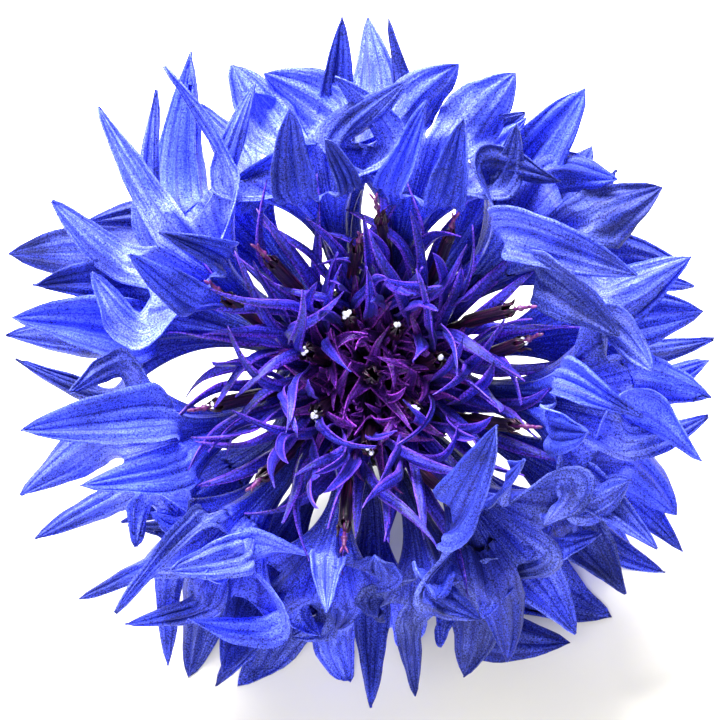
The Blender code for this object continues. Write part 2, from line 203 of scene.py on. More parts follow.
def petal_material(
    name, along, ridge, vein, veins, glow, grain=0.1, with_tone_and_painted_shade=False, gloss=0.16, margin=None
):
    """A velvety petal. along is its colour from foot to tip, as ramp stops.

    ridge, vein and margin are the colours of the pale ridges, the dark veins and a lobe's edges,
    and veins counts the veins in a lobe. The ridges' paleness is a painted highlight, and on ring
    petals the dark tube and funnel in along are painted shade. glow tints the light that passes
    through. grain is the cones' width in mm, and gloss goes from 0 to 1.
    """
    material, add = new_material(name)
    on_petal = add("UVMap", uv_map="petal")
    across = add("SeparateXYZ", [on_petal])
    share = add("Math", [across.node.outputs["Y"], 1 / LAST_SHADE_AT], operation="MULTIPLY")
    # On ring petals this ramp's dark tube and funnel are painted shade, for the hollow of the
    # funnel.
    pigment_and_painted_light = add("ValToRGB", [share], stops=along)

    place = add("TexCoord", output="Object")
    blotch = add("TexNoise", {"Vector": place, "Scale": 1 / BLOTCH_SIZE, "Roughness": 0.6})
    cones = add("TexNoise", {"Vector": place, "Scale": 1 / (grain * MM), "Detail": 1.0})
    stretched = add("Mapping", {"Vector": on_petal, "Scale": RIDGE_STRETCH})
    streak = add("TexNoise", {"Vector": stretched, "Scale": 1.3, "Detail": 4.0, "Roughness": 0.62})
    uneven = {"Distortion": 1.6, "Detail": 1.0, "Detail Scale": 0.6}
    waves = {"Vector": on_petal, "Scale": veins * tau / 20, **uneven}  # 20 radians in a unit
    lines = add("TexWave", waves, output="Fac", bands_direction="X")

    # The pale ridges are a painted highlight along the streaks, which the bump below also raises.
    layers = [(add("MapRange", [streak, 0.42, 0.8, 0.0, 0.62]), ridge)]
    layers.append((add("MapRange", [lines, 0.8, 1.0, 0.0, 0.55]), vein))
    if margin:
        across = add("Math", [across, 1.0], operation="PINGPONG")
        across = add("Math", [across, 0.5], operation="SUBTRACT")
        across = add("Math", [across], operation="ABSOLUTE")
        layers.append((add("MapRange", [across, 0.30, 0.47, 0.0, 0.6]), margin))
    for amount, colour in layers:
        mixed = {0: amount, 6: pigment_and_painted_light, 7: linear(colour)}
        pigment_and_painted_light = add("Mix", mixed, output=2, data_type="RGBA")

    value = add("MapRange", [cones, 0.3, 0.7, 0.20, 1.92])
    patch = add("MapRange", [blotch, 0.3, 0.7, 0.56, 1.36])
    value = add("Math", [value, patch], operation="MULTIPLY")
    # The attribute holds each ring lobe's tone, which differs at random, times painted shade on the
    # three florets that lie in shade.
    if with_tone_and_painted_shade:
        tone = add("Attribute", output="Fac", attribute_name="tone")
        value = add("Math", [value, tone], operation="MULTIPLY")
    colour = add("HueSaturation", {"Color": pigment_and_painted_light, "Value": value})

    height = add("Math", [lines, -0.7, cones], operation="MULTIPLY_ADD")
    height = add("Math", [streak, 4.5, height], operation="MULTIPLY_ADD")
    bumped = add("Bump", {"Height": height, "Strength": 0.35, "Distance": 0.06 * MM})
    skin = {
        "Base Color": colour,
        "Roughness": 0.66 - gloss,
        "Specular IOR Level": gloss,
        "Sheen Weight": 0.05,
        "Sheen Roughness": 0.4,
        "Sheen Tint": linear("b4c0ff"),
        "Normal": bumped,
    }
    mixed = {0: 1.0, 6: colour, 7: glow}
    tinted = add("Mix", mixed, output=2, data_type="RGBA", blend_type="MULTIPLY")
    passed = add("BsdfTranslucent", {"Color": tinted, "Normal": bumped})
    add("OutputMaterial", [add("MixShader", [LIGHT_THROUGH, add("BsdfPrincipled", skin), passed])])
    return material


RING = {"veins": 5.0, "glow": (1.9, 1.9, 1.5, 1.0), "with_tone_and_painted_shade": True}
DISC = {"veins": 2.0, "grain": 0.12, "gloss": 0.32}
# The inside is darker than the outside: that is painted shade, for the hollow of the funnel.
ring_inside_with_painted_shade = petal_material(
    "ring_petal_inside_with_painted_shade",
    [
        (0.0, "0c0440"), (0.24, "090650"), (0.38, "0a0d76"), (0.58, "141ca8"), (0.84, "4a56e0"),
        (1.0, "303ec2"),
    ],
    ridge="5c6cf0",
    vein="100c80",
    **RING,
)
ring_outside = petal_material(
    "ring_petal_outside",
    [
        (0.0, "120650"), (0.24, "0d0962"), (0.42, "141a98"), (0.62, "2c38cc"), (0.84, "6270ec"),
        (1.0, "3a48ca"),
    ],
    ridge="8e9cfa",
    vein="1a1898",
    **RING,
)
disc_petal = petal_material(
    "disc_corolla_petal",
    [(0.0, "140636"), (0.40, "20084e"), (0.60, "2e0b6c"), (0.80, "300c70"), (1.0, "3c1078")],
    ridge="8a38bc",
    vein="1c0850",
    glow=(1.6, 1.3, 1.5, 1.0),
    margin="a040c8",
    **DISC,
)
outer_disc_petal = petal_material(
    "outer_disc_corolla_petal",
    [(0.0, "180636"), (0.35, "20074a"), (0.56, "260a62"), (0.75, "201088"), (1.0, "241c9c")],
    ridge="5a54ea",
    vein="140848",
    glow=(1.6, 1.5, 1.5, 1.0),
    margin="7440d4",
    **DISC,
)
print("petal materials", ring_inside_with_painted_shade.name, ring_outside.name, disc_petal.name)

# %% [markdown]
# ## Anther, style and pollen materials
# The anther tube is five anthers grown together. It is nearly black, with a waxy skin and dull red
# streaks along it. The style that pushes up through it is a dark magenta, and the pollen that it
# carries is white. The bracts and the stem are a dull green, greyed by their fine down.


# %% Small plain finishes with their own texture
def tissue_material(name, dark, light, patch_mm, roughness, sheen=0.0, through=0.0):
    """Plant tissue mottled between two colours, with a fine uneven skin."""
    material, add = new_material(name)
    place = add("TexCoord", output="Object")
    scale = 1 / (patch_mm * MM)
    mottle = {"Vector": place, "Scale": scale, "Detail": 3.0, "Roughness": 0.6}
    mottle = add("TexNoise", mottle)
    colour = add("ValToRGB", [mottle], stops=[(0.32, dark), (0.68, light)])
    skin = add("TexNoise", {"Vector": place, "Scale": scale / 0.35})
    bumped = add("Bump", {"Height": skin, "Strength": 0.5, "Distance": 0.03 * MM})
    body = {
        "Base Color": colour,
        "Roughness": add("MapRange", [skin, 0.0, 1.0, roughness - 0.1, roughness + 0.1]),
        "Sheen Weight": sheen,
        "Subsurface Weight": through,
        "Subsurface Radius": (0.4 * MM, 0.3 * MM, 0.5 * MM),
        "Subsurface Scale": 1.0,
        "Normal": bumped,
    }
    add("OutputMaterial", [add("BsdfPrincipled", body)])
    return material


def anther_material(name):
    """A waxy, nearly black violet with dull red streaks along the seams between the anthers."""
    material, add = new_material(name)
    stretched = add("Mapping", {"Vector": add("UVMap", uv_map="petal"), "Scale": (7.0, 1.2, 1.0)})
    streak = add("TexNoise", {"Vector": stretched, "Scale": 1.0, "Detail": 3.0})
    stops = [(0.42, "08020c"), (0.56, "1a0724"), (0.72, "641c44")]
    colour = add("ValToRGB", [streak], stops=stops)
    place = add("TexCoord", output="Object")
    grain = add("TexNoise", {"Vector": place, "Scale": 1 / (0.12 * MM)})
    height = add("Math", [streak, grain], operation="ADD")
    bumped = add("Bump", {"Height": height, "Strength": 0.5, "Distance": 0.05 * MM})
    wax = {"Base Color": colour, "Roughness": 0.38, "Specular IOR Level": 0.4, "Normal": bumped}
    add("OutputMaterial", [add("BsdfPrincipled", wax)])
    return material


anther_skin = anther_material("anther_tube_wax")
style_flesh = tissue_material("style_flesh", "2c0636", "641c68", 0.3, 0.5, through=0.2)
pollen_grain = tissue_material("pollen_grains", "b9bcd6", "ffffff", 0.12, 0.75, sheen=0.3)
stem_skin = tissue_material("stem_skin", "30491f", "5a7540", 0.5, 0.6, sheen=0.3)
stem_pith = tissue_material("stem_pith", "7c8f58", "b9c592", 0.25, 0.8)


def bract_material(name):
    """Leathery green with fine lengthwise veins and a dark brown toothed edge."""
    material, add = new_material(name)
    on_bract = add("UVMap", uv_map="bract")
    across = add("SeparateXYZ", [on_bract])
    place = add("TexCoord", output="Object")
    mottle = add("TexNoise", {"Vector": place, "Scale": 1 / (0.9 * MM), "Detail": 3.0})
    green = add("ValToRGB", [mottle], stops=[(0.3, "2a4220"), (0.7, "58743c")])
    waves = {"Vector": on_bract, "Scale": 1.6, "Distortion": 1.0, "Detail": 1.0}
    lines = add("TexWave", waves, output="Fac", bands_direction="X")
    shade = add("MapRange", [lines, 0.0, 1.0, 1.15, 0.75])
    green = add("HueSaturation", {"Color": green, "Value": shade})

    # The brown grows with the distance from the middle and towards the tip, unevenly.
    beside = add("Math", [across], operation="ABSOLUTE")
    reach = add("Math", [across.node.outputs["Y"], 0.42, beside], operation="MULTIPLY_ADD")
    reach = add("Math", [mottle, 0.18, reach], operation="MULTIPLY_ADD")
    edge = add("MapRange", [reach, 1.08, 1.16])
    mixed = {0: edge, 6: green, 7: linear("1c0f0a")}
    edged = add("Mix", mixed, output=2, data_type="RGBA")
    bumped = add("Bump", {"Height": lines, "Strength": 0.4, "Distance": 0.05 * MM})
    leaf = {"Base Color": edged, "Roughness": 0.55, "Sheen Weight": 0.2, "Normal": bumped}
    add("OutputMaterial", [add("BsdfPrincipled", leaf)])
    return material


bract_green = bract_material("bract_leaf_with_toothed_edge")
print("tissue materials", len(bpy.data.materials))


# %% [markdown]
# ## Helpers for shapes
# Most pieces are made in the same few steps. A simple shape is added and edited, its flat outline
# is kept as a UV map, copies are bent or rolled, and small parts are joined into one piece. All
# the irregularities are drawn from one source of chance with a fixed seed, in a fixed order, so
# the same flower comes out every time.


# %% Shape helpers
draw = random.Random(7).uniform  # a number between two others, from one fixed seed


def new_shape(name, add, **settings):
    """Adds one of Blender's simple shapes and opens it for editing, with all of it selected."""
    add(**settings)
    piece = bpy.context.object
    piece.name = name
    bpy.ops.object.mode_set(mode="EDIT")
    bpy.ops.mesh.select_all(action="SELECT")
    return piece


def keep_flat_shape(piece, name):
    """Gives the piece's UV map a name and the flat shape that the piece has now."""
    layer = piece.data.uv_layers.active
    layer.name = name
    for loop in piece.data.loops:
        layer.data[loop.index].uv = piece.data.vertices[loop.vertex_index].co.xy


def copy_of(source, name):
    """A copy of a modelled piece with a mesh of its own."""
    piece = bpy.data.objects.new(name, source.data.copy())
    bpy.context.scene.collection.objects.link(piece)
    return piece


def select_only(*pieces):
    """Selects these pieces and nothing else, and makes the first one active."""
    bpy.ops.object.select_all(action="DESELECT")
    for piece in pieces:
        piece.select_set(True)
    bpy.context.view_layer.objects.active = pieces[0]


def join(pieces, name):
    """Joins pieces into the first one."""
    select_only(*pieces)
    bpy.ops.object.join()
    pieces[0].name = name
    return pieces[0]


print("shape helpers ready")

# %% [markdown]
# ## One flat pattern for a ring floret
# A ring floret is one petal tube: a thin tube, then a fluted funnel, then pointed lobes. It could
# be sculpted in the round, but twenty differ too much for that. Here it is cut like a paper
# pattern. A flat grid is one unit wide for each lobe and runs from 0 at the foot to 4 at the tips,
# and it is split between the lobes. Each floret then gets its own copy, rolled up into its shape,
# and the flat pattern stays as its UV map, which is what the veins are drawn on.

# %% Cut the flat pattern
FUNNEL_START, LOBE_START, TIP = 1.0, 2.2, 4.0  # along the pattern, from the foot at 0
RING_COLUMNS = 16  # of faces across each lobe
ROWS_PER_UNIT = 10
NEAR = 1e-4


def cut_pattern(name, lobes, columns):
    """A flat grid, one unit wide per lobe, split between the lobes and carrying its UV map."""
    pattern = new_shape(
        name,
        bpy.ops.mesh.primitive_grid_add,
        x_subdivisions=lobes * columns,
        y_subdivisions=int(TIP * ROWS_PER_UNIT),
        size=1.0,
    )
    bpy.ops.transform.translate(value=(0.5, 0.5, 0))
    bpy.ops.transform.resize(value=(lobes, TIP, 1), center_override=(0, 0, 0))
    bpy.ops.mesh.select_all(action="DESELECT")
    bpy.ops.mesh.select_mode(type="EDGE")
    edit = bmesh.from_edit_mesh(pattern.data)
    for edge in edit.edges:
        ends = [v.co for v in edge.verts]
        on_a_side = all(abs(p.x - round(p.x)) < NEAR for p in ends)
        edge.select = on_a_side and all(p.y > LOBE_START - NEAR for p in ends)
    bmesh.update_edit_mesh(pattern.data)
    bpy.ops.mesh.edge_split(type="EDGE")
    bpy.ops.object.mode_set(mode="OBJECT")
    keep_flat_shape(pattern, "petal")
    return pattern


patterns = {lobes: cut_pattern(f"pattern_{lobes}", lobes, RING_COLUMNS) for lobes in (5, 6)}
for pattern in patterns.values():
    print(pattern.name, len(pattern.data.polygons), "faces")

# %% [markdown]
# ## The curve of a floret
# Each floret leaves the receptacle steeply, bends outward along its tube, and opens at its throat.
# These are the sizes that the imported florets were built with, so each rolled petal lies where its
# solid lies. The rim of the funnel and the tips of the lobes spread more at the sides than above
# and below, because a cornflower's ring florets are wider than they are deep.

# %% Floret sizes and curves
STEM_LENGTH = 5.2
RECEPTACLE_EDGE, RECEPTACLE_HEIGHT, DOME_RISE = 4.75, 11.0, 0.9
RING_BASE_RADIUS, BASE_LIFT = 4.2, 0.92
TUBE_RADIUS_BASE, TUBE_RADIUS_THROAT, THROAT_REACH = 0.36, 0.74, 8.6
LEAVING_SLOPE, LEAVING_LENGTH, ARRIVING_LENGTH = 55.0, 2.4, 2.6  # the tube's ends, degrees and mm
FUNNEL_LENGTH, LOBE_LENGTH, OBLIQUE = 6.4, 6.2, 0.2
THROAT_SLOPE, RIM_SLOPES, TIP_SLOPES = 5.0, (22.0, 38.0), (24.0, 36.0)
LOBE_WIDEST = 0.84  # a folded ring lobe's width as seen, as a share of its foot's
FUNNEL_SPREAD = 0.35  # how much wider than deep the funnels open
UP = Vector((0, 0, 1))


def dome_height(radius):
    """Height of the receptacle's domed top at a distance from the axis, in mm."""
    edge = STEM_LENGTH + RECEPTACLE_HEIGHT
    return edge + DOME_RISE * (1 - (radius / RECEPTACLE_EDGE) ** 2)


def arc(length, start, end, share=1.0):
    """How far forward and outward an arc goes whose slope turns from start to end, in degrees."""
    start, turn = radians(start), radians(end - start) * share
    run = length * share
    if abs(turn) < 1e-6:
        return run * cos(start), run * sin(start)
    radius = run / turn
    return (
        radius * (sin(start + turn) - sin(start)),
        radius * (cos(start) - cos(start + turn)),
    )


def bezier(points, share):
    """A place on a curve through its first and last points, and its direction there."""
    level = list(points)
    while len(level) > 2:
        level = [a.lerp(b, share) for a, b in zip(level, level[1:])]
    return level[0].lerp(level[1], share), (level[1] - level[0]).normalized()


def wave(seed, x):
    """A smooth uneven wiggle between about -1 and 1, different for each seed."""
    return 0.6 * sin(x + 1.7 * seed) + 0.4 * sin(2.3 * x + 4.1 * seed + 1.0)


print("dome", round(dome_height(0), 2), "mm above the cut end")


# %% [markdown]
# ## The shape of a lobe
# Each lobe has a middle line that starts along the floret and bends towards its tip, and its
# points lie to the sides of that line. A ring lobe starts as wide as its share of the funnel's rim
# and is drawn out to a point. A disc lobe is a strap that keeps its width for longer and curls. Both
# are folded a little along their middle, cupped and pleated, and each gets its own irregularities,
# because no two are alike. A lobe also rolls over towards lying level, as if pressed by its own
# weight, which turns its broad face up.


# %% One lobe
def ring_lobe_width(share, blunt):
    """Width of a ring lobe along its length, as a share of its width at its foot."""
    return (1 - share**blunt) ** 0.8 * (1 + 0.2 * share)


def strap_width(share, blunt):
    """Width of a disc lobe along its length, as a share of its width at its foot."""
    return (1 - share ** (blunt + 1.6)) ** 0.8 * (1 - 0.28 * share)


def lobe_line(
    foot, heading, left, right, end, width, twist, bow, opening=0.0, curl=0.07, ripples=1.2
):
    """Everything about one lobe: its middle line, its width, and how it is twisted and cupped.

    opening is how much of the way the lobe turns to lie level: above 0 with its inner face up,
    below 0 with its outer face up. ripples is the number of lengthwise folds in half its width.
    """
    along = heading.normalized()
    across = right - left
    return {
        "curve": (foot, foot + along * (bow * (end - foot).length), end),
        "across": (across - along * across.dot(along)).normalized(),
        "chord": across.normalized(),
        "half": across.length / 2,
        "width": width,
        "twist": radians(twist),
        "opening": opening,
        "cup": draw(0.05, 0.40),
        "crease": draw(0.15, 0.75),
        "curl": draw(-curl, curl) * (end - foot).length,
        "blunt": draw(1.5, 3.6),
        "seed": draw(0, 100),
        "ripples": ripples,
    }


def on_lobe(line, rim, c, v, width, pleat):
    """A point of a lobe, c of the way from its middle (0) to an edge (-1 or 1).

    v is its place along the pattern, and rim is where it would be on the end of the funnel or tube,
    which the lobe grows out of.
    """
    share = min(1.0, (v - LOBE_START) / (TIP - LOBE_START))
    centre, along = bezier(line["curve"], share)
    foot, along_foot = bezier(line["curve"], 0.0)
    across = along_foot.rotation_difference(along) @ line["across"]
    level = UP.cross(along) * copysign(1.0, line["opening"])
    to_level = atan2(across.cross(level).dot(along), across.dot(level))
    to_level *= abs(line["opening"]) * min(1.0, 1.6 * level.length) * (1 - (1 - share) ** 2)
    across = Matrix.Rotation(to_level + line["twist"] * share**1.5, 3, along) @ across
    face = along.cross(across)
    widened = 1 + (line["width"] - 1) * min(1, 3 * share)
    half = line["half"] * width(share, line["blunt"]) * widened
    ragged = 1 + 0.08 * share * wave(line["seed"], 13 * share + 2 * c)
    swell = sin(pi * share)  # 0 at the foot and the tip, 1 half way
    cup = (line["cup"] * c * c + line["crease"] * abs(c)) * half * swell**0.7
    cup -= line["curl"] * max(0.0, share - 0.45) ** 2 * 3.0
    folds = cos(tau * line["ripples"] * c + line["seed"]) * swell**0.5
    folds = pleat * (folds + 1.4 * c * c * wave(line["seed"], 7 * share + c))
    keel = -1.8 * pleat * exp(-((c / 0.14) ** 2)) * (1 - share) * min(1, 4 * share)
    point = centre + across * (c * half * ragged) - face * (cup + folds + keel)
    settle = max(0.0, 1 - share / 0.3) ** 2
    return point + (rim - foot - line["chord"] * (c * line["half"])) * settle


def lobe_numbers(mesh):
    """Which lobe each point of a pattern belongs to, told by the faces around it."""
    numbers = {}
    for face in mesh.polygons:
        numbers.update((i, int(face.center.x)) for i in face.vertices)
    return numbers


def lay_points(mesh, on_body, lines, width, pleat):
    """Moves a flat pattern's points to their places on a floret.

    on_body says where a point of the tube or the funnel goes, and lines has a line for each lobe.
    """
    lobe_of = lobe_numbers(mesh)
    for vertex in mesh.vertices:
        around, v = vertex.co.x, vertex.co.y
        if v <= LOBE_START + NEAR:
            vertex.co = on_body(around, v)
        else:
            k = lobe_of[vertex.index]
            rim = on_body(around, LOBE_START)
            vertex.co = on_lobe(lines[k], rim, 2 * (around - k) - 1, v, width, pleat)


widest = max(range(101), key=lambda k: ring_lobe_width(k / 100, 3.2))
print("a ring lobe is widest at", widest, "% of its length")

# %% [markdown]
# ## Rolling a ring floret up
# Rolling is done point by point. In the tube, a point goes round the tube's curved centre line. In
# the funnel it goes along an arc that opens outward, with a flute under each lobe. In a lobe it
# goes where the lobe's own line and width put it. The line ends where the table of florets puts the
# lobe's tip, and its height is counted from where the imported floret's lobe ends, or nearly. Each
# lobe's shade is stored too, and it fades into the floret's mean shade across the lobe's foot.

# %% Roll one ring floret
RING_PLEAT = 0.18  # how deep a ring lobe's lengthwise folds are, in mm


def roll_ring_floret(mesh, foot, azimuth, height, rise, fold, size, tips, throat=None, tone=1.0):
    """Moves a copied pattern's points into the shape of one ring floret, in the head's frame.

    foot is where it stands on the receptacle's rim, in degrees round, and the rest is in the table.
    """
    lobes = len(tips)
    foot = radians(foot)
    swerve = radians(azimuth) - foot
    rise = radians(rise)
    base = Vector((RING_BASE_RADIUS, 0, dome_height(RING_BASE_RADIUS) + BASE_LIFT))
    out = Vector((cos(swerve), sin(swerve), 0))
    forward = out * cos(rise) + UP * sin(rise)
    below = out * sin(rise) - UP * cos(rise)
    beside = forward.cross(below)
    usual = THROAT_REACH + draw(-0.7, 0.7)
    throat = out * (throat or usual)
    throat.z = base.z + height
    leaving = radians(LEAVING_SLOPE)
    leaving = Vector((cos(leaving), 0, sin(leaving)))
    tube = (base, base + leaving * LEAVING_LENGTH, throat - forward * ARRIVING_LENGTH, throat)
    seed = draw(0, 100)

    def slopes(angle):
        beside_it = sin(angle) ** 2
        above_it = max(0.0, -cos(angle)) ** 2
        rim = RIM_SLOPES[0] + (RIM_SLOPES[1] - RIM_SLOPES[0]) * beside_it
        tip = TIP_SLOPES[0] + (TIP_SLOPES[1] - TIP_SLOPES[0]) * beside_it
        return rim, tip + fold * above_it

    def spoke(angle):
        return below * cos(angle) + beside * sin(angle)

    def on_tube(around, v):
        centre, along = bezier(tube, v)
        side = UP.cross(along).normalized()
        down = side.cross(along)
        angle = tau * around / lobes
        radius = TUBE_RADIUS_BASE + (TUBE_RADIUS_THROAT - TUBE_RADIUS_BASE) * v**1.5
        radius *= 1 - 0.07 * v * cos(tau * around) + 0.05 * wave(seed, 3 * v + angle)
        return centre + (down * cos(angle) + side * sin(angle)) * radius

    def on_funnel(around, share):
        angle = tau * around / lobes
        rim, _ = slopes(angle)
        length = size * FUNNEL_LENGTH * (1 + OBLIQUE * cos(angle))
        run, outward = arc(length, THROAT_SLOPE, rim, share)
        flute = 1 - (0.06 + 0.20 * share) * cos(tau * around)
        flute += 0.04 * share * cos(2 * tau * around + 1.0)
        flute += 0.045 * sin(pi * share**0.7) * cos(3 * tau * around + seed)
        flute += 0.12 * share * wave(seed, 3 * angle)
        outward *= 1 + FUNNEL_SPREAD * sin(angle) ** 2 * share
        return throat + forward * run + spoke(angle) * ((TUBE_RADIUS_THROAT + outward) * flute)

    def on_body(around, v):
        if v <= FUNNEL_START:
            return on_tube(around, v)
        return on_funnel(around, (v - FUNNEL_START) / (LOBE_START - FUNNEL_START))

    lines = []
    for k, (azimuth, reach, lift, width) in enumerate(tips):
        angle = tau * (k + 0.5) / lobes
        start = on_funnel(k + 0.5, 1.0)
        rim, tip = slopes(angle)
        length = size * LOBE_LENGTH * (1 + 0.12 * cos(angle)) * draw(0.9, 1.15)
        ahead, wider = arc(length, rim, tip + draw(-6, 10))
        end = start + forward * ahead + spoke(angle) * wider
        end += spoke(angle + pi / 2) * draw(-0.9, 0.9)
        draw(0, 1)  # nothing uses this one, but without it all the later numbers would change
        twist = draw(-30, 30)
        # The floret's value from the table is painted shade, for florets that lie in shade; the draw
        # gives each lobe its own tone at random.
        lobe_tone_and_painted_shade = tone * draw(0.5, 1.36)
        azimuth = radians(azimuth) - foot
        end = Vector((reach * cos(azimuth), reach * sin(azimuth), end.z + lift))
        heading = start - on_funnel(k + 0.5, 0.9)
        left, right = on_funnel(k, 1.0), on_funnel(k + 1, 1.0)
        width /= LOBE_WIDEST * (right - left).length
        opening = draw(0.6, 0.9) * (1 if cos(angle) > -0.6 else -1)
        line = lobe_line(
            start, heading, left, right, end, width, twist, bow=0.2, opening=opening, ripples=1.6
        )
        lines.append({**line, "tone": lobe_tone_and_painted_shade})

    # Each lobe's stored value is its random tone times its floret's painted shade.
    lobe_of = lobe_numbers(mesh)
    mean = sum(line["tone"] for line in lines) / lobes
    tone_and_painted_shades = mesh.attributes.new("tone", "FLOAT", "POINT")
    for vertex in mesh.vertices:
        share = min(1.0, max(0.0, (vertex.co.y - LOBE_START) / 0.3 + 0.5))
        lobe_tone_and_painted_shade = lines[lobe_of[vertex.index]]["tone"]
        tone_and_painted_shades.data[vertex.index].value = mean + (lobe_tone_and_painted_shade - mean) * share
    lay_points(mesh, on_body, lines, ring_lobe_width, RING_PLEAT)
    mesh.transform(Matrix.Rotation(foot, 4, "Z"))


print("rolling is ready")

# %% [markdown]
# ## From a rolled sheet to a petal
# The rolled sheet has a seam along the tube, an open foot, and lobes that end in a row of points at
# one place. Merging the doubles closes the seam and the tips, and one face closes the foot. Then
# the Solidify modifier gives the petal its two sides, which differ in colour; on ring petals the
# darker inside is painted shade. A real petal is about 0.1 mm thick. What would lie below the table
# is laid flat on it, as a soft petal does.

# %% Close, thicken and place a petal
PETAL_THICKNESS = 0.10 * MM
TABLE_CLEARANCE = 0.14 * MM
MERGE_DISTANCE = 0.004 * MM


def to_head(mesh):
    """Takes points given in mm in the head's frame to their place on the table."""
    for vertex in mesh.vertices:
        vertex.co = HEAD @ (vertex.co * MM)
        vertex.co.z = max(vertex.co.z, TABLE_CLEARANCE)


def close_foot(piece):
    """Merges the seam and the lobe tips and closes the open foot with one face."""
    edit = bmesh.new()
    edit.from_mesh(piece.data)
    bmesh.ops.remove_doubles(edit, verts=edit.verts, dist=MERGE_DISTANCE)
    layer = edit.loops.layers.uv.active

    def at_foot(edge):
        return all(min(l[layer].uv.y for l in v.link_loops) < NEAR for v in edge.verts)

    rim = [edge for edge in edit.edges if edge.is_boundary and at_foot(edge)]
    for face in bmesh.ops.contextual_create(edit, geom=rim)["faces"]:
        for loop in face.loops:
            loop[layer].uv = (0.5, 0.0)
    bmesh.ops.recalc_face_normals(edit, faces=edit.faces)
    edit.to_mesh(piece.data)
    edit.free()


def thicken(piece, thickness, outside, inside):
    """Gives a sheet its thickness, with one material outside and another inside."""
    piece.data.materials.append(outside)
    piece.data.materials.append(inside)
    solidify = piece.modifiers.new("thickness", "SOLIDIFY")
    solidify.thickness = thickness
    solidify.offset = -1.0
    solidify.material_offset = 1
    solidify.material_offset_rim = 0
    select_only(piece)
    bpy.ops.object.modifier_apply(modifier=solidify.name)
    bpy.ops.object.shade_smooth()


def finish_petal(piece, thickness, outside, inside):
    """Takes a rolled sheet to its place, closes it and gives it its thickness."""
    to_head(piece.data)
    close_foot(piece)
    thicken(piece, thickness, outside, inside)


print("petal thickness", PETAL_THICKNESS / MM, "mm")
